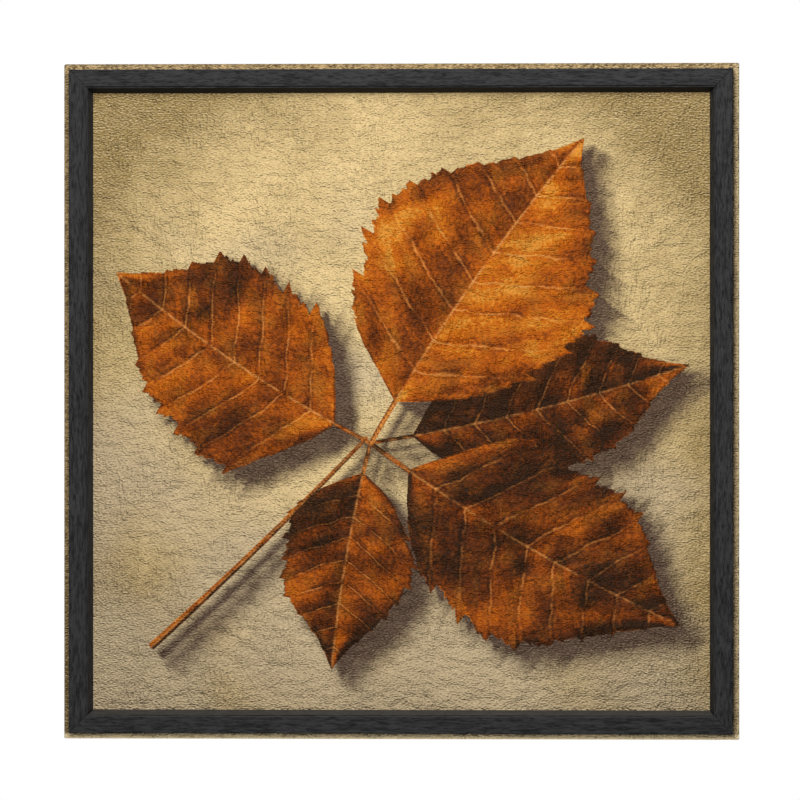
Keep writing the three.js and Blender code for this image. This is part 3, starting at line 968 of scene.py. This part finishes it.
def corner_fold(seed):
    """The doubled cloth of a folded corner, on the back at the top right: a slab over four corners joined by
    straight lines, thick in the middle and thinned to its edges by sqrt(1 - (2s - 1)^8)."""
    steps = np.linspace(0, 1, FOLD_GRID)
    s, t = np.meshgrid(steps, steps, indexing="ij")
    low, high = CANVAS_HALF - FLAP + 0.6, CANVAS_HALF - 2.0
    near = np.array([(low + 1.5, low), (high, high - 1.5)])
    far = np.array([(low, high), (high - 1.5, high)])
    flat = blend(
        blend(near[0], near[1], s[..., None]), blend(far[0], far[1], s[..., None]), t[..., None]
    )
    crown = np.sqrt(clamp(1 - (2 * s - 1) ** 8)) * np.sqrt(clamp(1 - (2 * t - 1) ** 8))
    wave = 0.25 * soft_noise(flat[..., 0] / 7, flat[..., 1] / 7, seed)
    top = CLOTH_BACK + 0.06 + (FOLD_THICK - 0.25 + wave) * crown
    bottom = CLOTH_BACK + 0.05 + 0 * top
    points = np.concatenate([
        np.stack([flat[..., 0], depth, flat[..., 1]], -1).reshape(-1, 3) for depth in (top, bottom)
    ])
    count = len(s)
    ring = border(count)
    sides = np.stack([np.roll(ring, -1), ring, ring + count ** 2, np.roll(ring, -1) + count ** 2], -1)
    return points, [grid_quads(count, count), count ** 2 + grid_quads(count, count)[:, ::-1], sides]


def rail_outline(settings):
    """Section of a frame rail, (distance out, depth), counter-clockwise: flat face towards the front,
    upright outer side, back, lip, bevel, and a fine groove between bevel and face."""
    bevel, arris, quirk = (value / MM for value in (settings.bevel, settings.arris, settings.quirk))
    face = RAIL_INNER + bevel
    corners = [
        (face + quirk, RAIL_FRONT), (RAIL_OUTER, RAIL_FRONT), (RAIL_OUTER, RAIL_BACK),
        (RAIL_INNER, RAIL_BACK), (RAIL_INNER, RAIL_BACK - RAIL_LIP),
        (face - 0.4 * quirk, RAIL_FRONT + 1.2 * quirk), (face + 0.5 * quirk, RAIL_FRONT + 1.5 * quirk),
        (face + quirk, RAIL_FRONT + 1.1 * quirk),
    ]
    reaches = (arris, 1.4 * arris, 0.3, 0.3, 0.2, 0.3, 0.1, 0.1)
    return densify(eased(corners, reaches), 0.8, closed=True)


def bar_outline():
    """Section of a stretcher bar, (distance out, depth), counter-clockwise, with eased edges. Its front
    falls away from the cloth inside the land."""
    corners = [
        (BAR_INNER, BAR_FRONT + BAR_FALL), (BAR_OUTER - BAR_LAND, BAR_FRONT), (BAR_OUTER, BAR_FRONT),
        (BAR_OUTER, BAR_BACK), (BAR_INNER, BAR_BACK),
    ]
    return densify(eased(corners, (1.6, 1.0, 0.8, 1.0, 1.6)), 1.6, closed=True)


def grain_relief(depth, wave, seed):
    """Open grain: long narrow hollows where stretched random heights are high, on slow waves."""
    def relief(along, girth):
        hollows = ease(soft_noise(along / 7 + 99, girth / 0.8 + 9, seed), 0.5, 0.95)
        waves = soft_noise(along / 55 + 50, girth / 11 + 5, seed + 1) - 0.5
        return wave * waves - depth * hollows
    return relief


def staple(crown, leg, seat):
    """Round-cornered flat wire bent to a staple, crown along x and legs to the front, with chisel points."""
    half = (crown - WIRE_THICK) / 2
    top, tip = seat + WIRE_THICK / 2, seat - leg
    path = eased([(-half, tip), (-half, top), (half, top), (half, tip)], (0, 0.8, 0.8, 0), 7)
    path = densify(path, 3.0)
    wire_corners = np.array([(-1, -1), (1, -1), (1, 1), (-1, 1)]) * (WIRE_THICK / 2, WIRE_WIDE / 2)
    points, faces = swept(path, eased(wire_corners, 0.2, 3))
    taper = clamp((points[:, 1] - tip) / WIRE_POINT, 0.15, 1)
    points[:, 2] *= taper
    return points, faces


def cross_recess(x, z):
    """Depth of a cross driven into a screw head: the deeper of its two arms, with walls that slope in."""
    reach = np.hypot(x, z)
    arms = np.maximum(1 - ease(np.abs(x), 0.25, 0.6), 1 - ease(np.abs(z), 0.25, 0.6))
    return -RECESS_DEPTH * arms * (1 - ease(reach, 1.2, 2.0))


def screw(seat, top, tip, head, shank):
    """A pan head with a cross recess on a threaded, pointed shank. The thread is a wave in the radius that
    goes once round in each pitch."""
    height = top - seat
    head_line = [
        (shank, seat), (head, seat), (head, seat + 0.45 * height), (0.78 * head, top - 0.1), (0, top),
    ]
    head_profile = densify(eased(head_line, (0, 0.3, 0.7, 0.8, 0), 5), 0.22)
    shank_profile = densify(np.array([(0, tip), (shank, tip + SCREW_POINT), (shank, seat)]), 0.5)
    profile = np.concatenate([shank_profile[:-1], head_profile])
    points, faces = turned(profile, SCREW_SIDES, cross_recess)
    radius = np.hypot(points[:, 0], points[:, 2])
    angle = np.arctan2(points[:, 2], points[:, 0]) / (2 * math.pi)
    thread = 0.5 - 0.5 * np.cos(2 * math.pi * (points[:, 1] / THREAD_PITCH - angle))
    below = (points[:, 1] < seat - 0.8) & (radius > 0)
    scale = 1 - THREAD_DEPTH * thread * below
    points[:, 0] *= scale
    points[:, 2] *= scale
    return points, faces


def tack(seat, top, tip, head, shank):
    """A domed head on a plain pointed shank."""
    line = [
        (0, tip), (shank, tip + TACK_POINT), (shank, seat), (head, seat),
        (head, seat + 0.3 * (top - seat)), (0.6 * head, top), (0, top),
    ]
    return turned(densify(eased(line, (0, 0, 0, 0.1, 0.2, 0.7, 0), 6), 0.4), TACK_SIDES)


def hanger(low, size):
    """A strip bent up in its middle, with teeth along its lower edge: the edge drops from each notch to its
    tooth in a straight line."""
    foot, raised = HANGER_FOOT, HANGER_RAISED
    seat = low[1] + HANGER_METAL / 2
    lifted = low[1] + size[1] - HANGER_METAL / 2
    end = size[0] / 2
    bends = [
        (-end, seat), (-foot, seat), (-raised, lifted), (raised, lifted), (foot, seat), (end, seat),
    ]
    path = densify(eased(bends, (0, 1, 1, 1, 1, 0), 6), 0.15)
    tall = size[2]
    strip = np.array([(-1, 0), (1, 0), (1, tall), (-1, tall)]) * (HANGER_METAL / 2, 1)
    points, faces = swept(path, densify(eased(strip, 0.15, 3), 2.5, closed=True))
    notch = clamp(np.round(points[:, 0] / TOOTH_PITCH), -TEETH, TEETH) * TOOTH_PITCH
    drop = TOOTH_DEPTH * (1 - clamp(np.abs(points[:, 0] - notch) / (TOOTH_PITCH / 2 - TOOTH_TIP)))
    share = points[:, 2] / tall
    points[:, 2] = low[2] + points[:, 2] + drop * (1 - share)
    return points, faces


def bumper(low, size):
    """A rubber foot: a short round body with soft edges and a shallow dish in its wall side."""
    radius, back, front = size[0] / 2, low[1] + size[1], low[1]
    line = [(0, front), (radius, front), (radius, back), (0.8 * radius, back), (0, back - 0.5)]
    return turned(densify(eased(line, (0, 0.4, 1.4, 0.6, 0), 7), 0.5), BUMPER_SIDES)


# Operators


class BuildStretcher(bpy.types.Operator):
    """Four mitred pine bars with eased edges and planed grain"""

    bl_idname = "picture.build_stretcher"
    bl_label = "Build Stretcher"

    def execute(self, context):
        pine = pine_material(context.scene.picture_back)
        for turns, side in enumerate(SIDES):
            relief = grain_relief(BAR_GRAIN, BAR_WAVE, BAR_SEED + turns)
            points, faces = mitred_member(bar_outline(), relief, BAR_STEP)
            node = f"stretcher_bar_{side}"
            make_grained(f"pine_bar_{side}", points, faces, pine, node, turns)
        return {"FINISHED"}


class BuildCanvas(bpy.types.Operator):
    """The painted cloth over the stretcher, and the doubled cloth at its four corners behind"""

    bl_idname = "picture.build_canvas"
    bl_label = "Build Canvas"

    def execute(self, context):
        settings = context.scene.picture_canvas
        painted = canvas_material(settings)
        points, faces, fields = cloth(settings.grid_step / MM)
        canvas = make_piece("painted_cloth", points, faces, painted, ["canvas"], fields)
        for turns, corner in enumerate(CORNERS):
            points, faces = corner_fold(FOLD_SEED + turns)
            fields = {"wrap": np.full(len(points), FLAP_WRAP)}
            points = turn_about_middle(points, turns)
            fold = make_piece(f"corner_fold_{corner}", points, faces, painted, [], fields)
        flat = cloth_half_lines(settings.grid_step / MM)[0][-1] * 2 * MM
        return {"FINISHED"}


class BuildFrame(bpy.types.Operator):
    """Four mitred rails with a flat face, a bevelled inner side and open grain under matt paint"""

    bl_idname = "picture.build_frame"
    bl_label = "Build Frame"

    def execute(self, context):
        settings = context.scene.picture_frame
        paint = rail_material(settings)
        for turns, side in enumerate(SIDES):
            relief = grain_relief(settings.grain_depth / MM, RAIL_WAVE, RAIL_SEED + turns)
            points, faces = mitred_member(rail_outline(settings), relief, RAIL_STEP)
            node = f"frame_rail_{side}"
            make_grained(f"painted_rail_{side}", points, faces, paint, node, turns)
        return {"FINISHED"}


class BuildFastenings(bpy.types.Operator):
    """Staples round the cloth and across the bars' mitres, screws, and nails inside the frame's mitres"""

    bl_idname = "picture.build_fastenings"
    bl_label = "Build Fastenings"

    def execute(self, context):
        steel = metal_material("bright zinc", context.scene.picture_back.steel, 0.45)

        def place(name, node, points, faces, turns):
            make_piece(name, turn_about_middle(points, turns), faces, steel, [node])

        for turns, (side, corner) in enumerate(zip(SIDES, CORNERS)):
            for number in range(1, CLOTH_STAPLES + 1):
                low, size = node_box(f"cloth_staple_top_{number}")
                points, faces = staple(size[0], size[1] - WIRE_THICK, low[1] + size[1] - WIRE_THICK)
                points += (low[0] + size[0] / 2, 0, low[2] + size[2] / 2)
                place(f"staple_{side}_{number}", f"cloth_staple_{side}_{number}", points, faces, turns)
            for number in (1, 2):
                low, size = node_box(f"screw_top_{number}")
                top, head = low[1] + size[1], size[0] / 2
                points, faces = screw(top - HEAD_HEIGHT, top, low[1], head, SHANK)
                points += (low[0] + head, 0, low[2] + head)
                place(f"pan_screw_{side}_{number}", f"screw_{side}_{number}", points, faces, turns)
            low, size = node_box("corner_staple_top_right")
            points, faces = staple(CORNER_CROWN, size[1] - WIRE_THICK, low[1] + size[1] - WIRE_THICK)
            points += (0, 0, (low[0] + size[0] / 2) * math.sqrt(2))
            place(f"mitre_staple_{corner}", f"corner_staple_{corner}", points, faces, turns + 0.5)
            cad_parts[f"v_nail_{corner}"].material_slots[0].material = steel
        return {"FINISHED"}


class BuildHanger(bpy.types.Operator):
    """The sawtooth hanger on the top bar and its two tacks"""

    bl_idname = "picture.build_hanger"
    bl_label = "Build Hanger"

    def execute(self, context):
        plated = metal_material("plated sheet", context.scene.picture_back.hanger, 0.5)
        points, faces = hanger(*node_box("sawtooth_hanger"))
        make_piece("notched_hanger", points, faces, plated, ["sawtooth_hanger"])
        for number in (1, 2):
            low, size = node_box(f"hanger_tack_{number}")
            top, head = low[1] + size[1], size[0] / 2
            points, faces = tack(top - TACK_HEIGHT, top, low[1], head, TACK_SHANK)
            points += (low[0] + head, 0, low[2] + head)
            node = f"hanger_tack_{number}"
            make_piece(f"tack_{number}", points, faces, plated, [node])
        return {"FINISHED"}


class BuildBumpers(bpy.types.Operator):
    """Two rubber bumpers at the lower corners behind"""

    bl_idname = "picture.build_bumpers"
    bl_label = "Build Bumpers"

    def execute(self, context):
        rubber = rubber_material(context.scene.picture_back)
        for side in ("left", "right"):
            low, size = node_box(f"bumper_{side}")
            points, faces = bumper(low, size)
            points += (low[0] + size[0] / 2, 0, low[2] + size[2] / 2)
            node = f"bumper_{side}"
            make_piece(f"rubber_foot_{side}", points, faces, rubber, [node])
        return {"FINISHED"}


class BuildStage(bpy.types.Operator):
    """Pale floor, soft lights, white surroundings and the camera"""

    bl_idname = "picture.build_stage"
    bl_label = "Build Stage"

    def execute(self, context):
        settings = context.scene.picture_stage
        self.surroundings(context.scene, settings)
        self.floor(settings)
        middle = Vector(MIDDLE * MM)
        self.light("key light", middle, KEY_PLACE, KEY_SIZE, settings.key_power)
        self.light("front light", middle, FRONT_PLACE, FRONT_SIZE, settings.front_power)
        self.light("back light", middle, BACK_PLACE, BACK_SIZE, settings.back_power)
        self.camera(context.scene, settings)
        return {"FINISHED"}

    @staticmethod
    def surroundings(scene, settings):
        """White to the camera. As light it is dim below and rises to full ambient above."""
        world = bpy.data.worlds.new("white room")
        world.use_nodes = True
        nodes, links = world.node_tree.nodes, world.node_tree.links
        background = nodes["Background"]
        background.inputs["Color"].default_value = (1, 1, 1, 1)
        direction = nodes.new("ShaderNodeTexCoord")
        height = nodes.new("ShaderNodeSeparateXYZ")
        above = nodes.new("ShaderNodeMapRange")
        levels = (-0.5, 0.7, 0.1 * settings.ambient, settings.ambient)
        for number, value in enumerate(levels, start=1):
            above.inputs[number].default_value = value
        seen = nodes.new("ShaderNodeLightPath")
        strength = nodes.new("ShaderNodeMix")
        strength.inputs[3].default_value = 1.0
        links.new(direction.outputs["Generated"], height.inputs[0])
        links.new(height.outputs[2], above.inputs[0])
        links.new(above.outputs[0], strength.inputs[2])
        links.new(seen.outputs["Is Camera Ray"], strength.inputs[0])
        links.new(strength.outputs[0], background.inputs["Strength"])
        scene.world = world
        scene.view_settings.view_transform = "Standard"

    @staticmethod
    def floor(settings):
        half, level = FLOOR_HALF, CAD_BOX[0].z - settings.floor_drop
        mesh = bpy.data.meshes.new("pale floor")
        corners = [(-half, -half, level), (half, -half, level), (half, half, level), (-half, half, level)]
        mesh.from_pydata(corners, [], [(0, 1, 2, 3)])
        paint = Paint("pale floor", {"Roughness": 0.9})
        x, depth, z = paint.place()
        cloud = paint.noise(x / 90, depth / 90, detail=3)
        colour_of_floor = paint.mix(cloud, srgb(226, 225, 222), srgb(238, 237, 235))
        mesh.materials.append(paint.finish({"Base Color": colour_of_floor}))
        floor = bpy.data.objects.new("pale_floor", mesh)
        bpy.context.scene.collection.objects.link(floor)

    @staticmethod
    def light(name, target, offset, size, power):
        """A round lamp at an offset from what it faces."""
        lamp = bpy.data.lights.new(name, "AREA")
        lamp.shape, lamp.size, lamp.energy = "DISK", size, power
        light = bpy.data.objects.new(name, lamp)
        light.location = target + Vector(offset)
        light.rotation_euler = (target - light.location).to_track_quat("-Z", "Y").to_euler()
        bpy.context.scene.collection.objects.link(light)

    @staticmethod
    def camera(scene, settings):
        lens = bpy.data.cameras.new("camera")
        lens.sensor_width = SENSOR
        lens.lens = SENSOR * settings.distance / settings.width
        lens.clip_end = CLIP_END
        camera = bpy.data.objects.new("camera", lens)
        turn = settings.azimuth
        away = Vector((math.sin(turn), -math.cos(turn), 0)) * settings.distance
        camera.location = Vector((MIDDLE + AIM) * MM) + away
        camera.rotation_euler = (math.pi / 2, 0, turn)
        scene.collection.objects.link(camera)
        scene.camera = camera


class PicturePanel(bpy.types.Panel):
    """Buttons that build the picture, piece by piece"""

    bl_idname = "VIEW3D_PT_picture"
    bl_label = "Framed Canvas Picture"
    bl_space_type = "VIEW_3D"
    bl_region_type = "UI"
    bl_category = "Picture"

    def draw(self, context):
        for operator in OPERATORS:
            self.layout.operator(operator.bl_idname)
        for key in SETTINGS:
            settings = getattr(context.scene, key)
            for name in type(settings).__annotations__:
                self.layout.prop(settings, name)


SETTINGS = {
    "picture_canvas": CanvasSettings,
    "picture_frame": FrameSettings,
    "picture_back": BackSettings,
    "picture_stage": StageSettings,
}
OPERATORS = (
    BuildStretcher, BuildCanvas, BuildFrame, BuildFastenings, BuildHanger, BuildBumpers, BuildStage,
)


def register():
    for cls in (*SETTINGS.values(), *OPERATORS, PicturePanel):
        bpy.utils.register_class(cls)
    for key, group in SETTINGS.items():
        setattr(bpy.types.Scene, key, bpy.props.PointerProperty(type=group))


def unregister():
    for key in SETTINGS:
        delattr(bpy.types.Scene, key)
    for cls in reversed((*SETTINGS.values(), *OPERATORS, PicturePanel)):
        bpy.utils.unregister_class(cls)


def main():
    register()
    bpy.ops.picture.build_stretcher()
    bpy.ops.picture.build_canvas()
    bpy.ops.picture.build_frame()
    bpy.ops.picture.build_fastenings()
    bpy.ops.picture.build_hanger()
    bpy.ops.picture.build_bumpers()
    bpy.ops.picture.build_stage()


if __name__ == "__main__":
    main()
